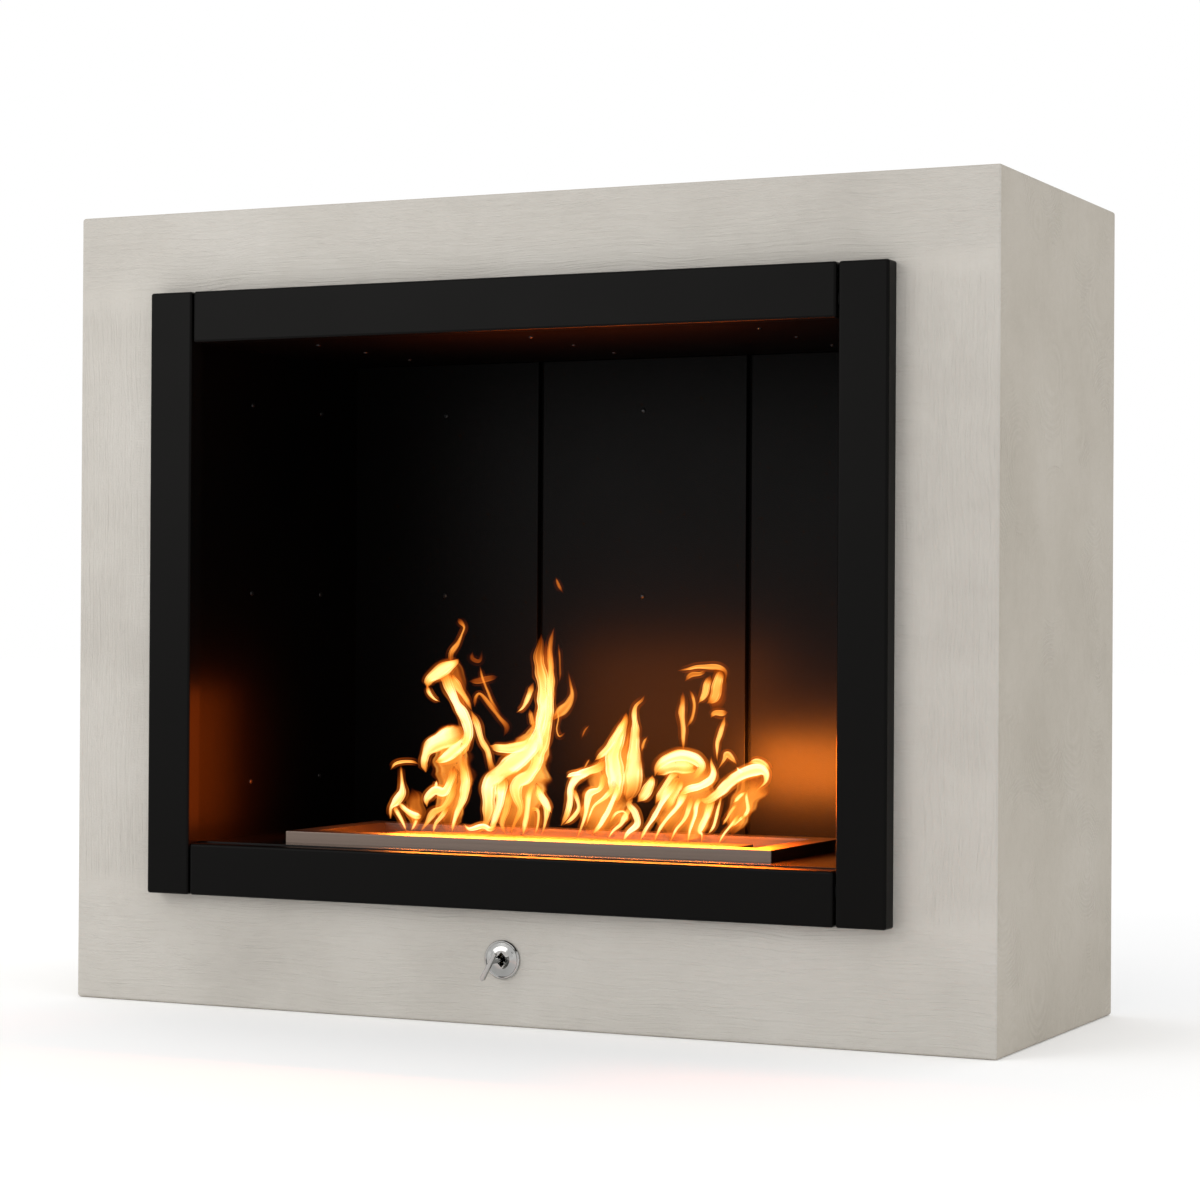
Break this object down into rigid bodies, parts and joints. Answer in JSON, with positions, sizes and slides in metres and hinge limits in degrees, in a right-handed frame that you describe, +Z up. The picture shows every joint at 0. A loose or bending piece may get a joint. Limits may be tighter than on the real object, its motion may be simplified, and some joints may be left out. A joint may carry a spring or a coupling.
{
  "type": "outdoor gas fireplace",
  "caption": "Freestanding outdoor gas fireplace: cast plaster-finished surround, black steel trim and firebox, brushed burner tray with a linear burner, and a key valve.",
  "frame": {"origin": "centre of the surround's underside, which stands on the ground", "axes": "+X to the right seen from the front, +Y from the fire opening towards the back, +Z up"},
  "size_m": [1.5, 0.59, 1.215],
  "materials": {
    "cast_surround": "matte",
    "trim_powder_coat": "satin",
    "liner_black": "satin",
    "casing_zinc": "satin",
    "insulation_board": "matte",
    "chassis_paint": "satin",
    "brushed_steel": "brushed",
    "zinc_fastener": "satin",
    "fitting_steel": "satin",
    "chrome": "polished",
    "brass": "satin",
    "hose_cover": "matte",
    "regulator_casting": "satin",
    "lever_yellow": "gloss",
    "black_plastic": "matte"
  },
  "bodies": {
    "fireplace": {"back_panel": "casing_zinc", "back_panel_screws": "zinc_fastener", "burner_brackets": "brushed_steel", "burner_elbow": "fitting_steel", "burner_hose": "hose_cover", "burner_lid": "brushed_steel", "burner_plenum": "brushed_steel", "burner_tray": "brushed_steel", "chassis_posts": "chassis_paint", "chassis_rails": "chassis_paint", "door_magnets": "black_plastic", "feed_locknut": "zinc_fastener", "firebox_bearers": "chassis_paint", "firebox_casing": "casing_zinc", "gas_inlet": "brass", "gas_orifice": "brass", "gas_regulator": "regulator_casting", "hinge_pintles": "casing_zinc", "hose_clips": "casing_zinc", "hose_nuts": "zinc_fastener", "inlet_locknut": "brass", "insulation_back": "insulation_board", "insulation_floor": "insulation_board", "insulation_left": "insulation_board", "insulation_right": "insulation_board", "insulation_top": "insulation_board", "isolation_valve_body": "brass", "liner_back_centre": "liner_black", "liner_back_left": "liner_black", "liner_back_right": "liner_black", "liner_backing": "liner_black", "liner_ceiling": "liner_black", "liner_floor": "liner_black", "liner_left": "liner_black", "liner_right": "liner_black", "liner_screws": "liner_black", "mixer_tube": "fitting_steel", "regulator_cap": "black_plastic", "regulator_stand": "casing_zinc", "sleeve_locknut": "zinc_fastener", "supply_hose": "hose_cover", "surround_cleats": "casing_zinc", "surround_shell": "cast_surround", "trim_corner_clips": "trim_powder_coat", "trim_rail_bottom": "trim_powder_coat", "trim_rail_top": "trim_powder_coat", "trim_stile_left": "trim_powder_coat", "trim_stile_right": "trim_powder_coat", "valve_body": "brass", "valve_end_cap": "brass", "valve_escutcheon": "chrome", "valve_sleeve": "zinc_fastener", "wall_fixing_inserts": "zinc_fastener"},
    "valve_stem": {"valve_plug": "brass"},
    "key": {"valve_key": "chrome"},
    "isolation": {"isolation_ball": "brass", "isolation_lever": "lever_yellow"},
    "shutter": {"air_shutter": "fitting_steel"},
    "door": {"service_door": "casing_zinc", "hinge_sleeves": "casing_zinc"}
  },
  "joints": [
    {"name": "valve_turn", "type": "hinge", "parent": "fireplace", "child": "valve_stem", "pos_m": [-0.003, -0.205, 0.097], "axis": [0, 1, 0], "range_deg": [-29, 61]},
    {"name": "key_pull", "type": "slide", "parent": "valve_stem", "child": "key", "axis": [0, -1, 0], "range_m": [0, 0.12]},
    {"name": "isolation_turn", "type": "hinge", "parent": "fireplace", "child": "isolation", "pos_m": [0.52, 0.188, 0.097], "axis": [0, 0, -1], "range_deg": [0, 90]},
    {"name": "air_shutter_turn", "type": "hinge", "parent": "fireplace", "child": "shutter", "pos_m": [-0.1, -0.09, 0.13], "axis": [1, 0, 0], "range_deg": [0, 60]},
    {"name": "door_swing", "type": "hinge", "parent": "fireplace", "child": "door", "pos_m": [-0.059, 0.2523, 0.123], "axis": [0, 0, 1], "range_deg": [0, 105]}
  ]
}
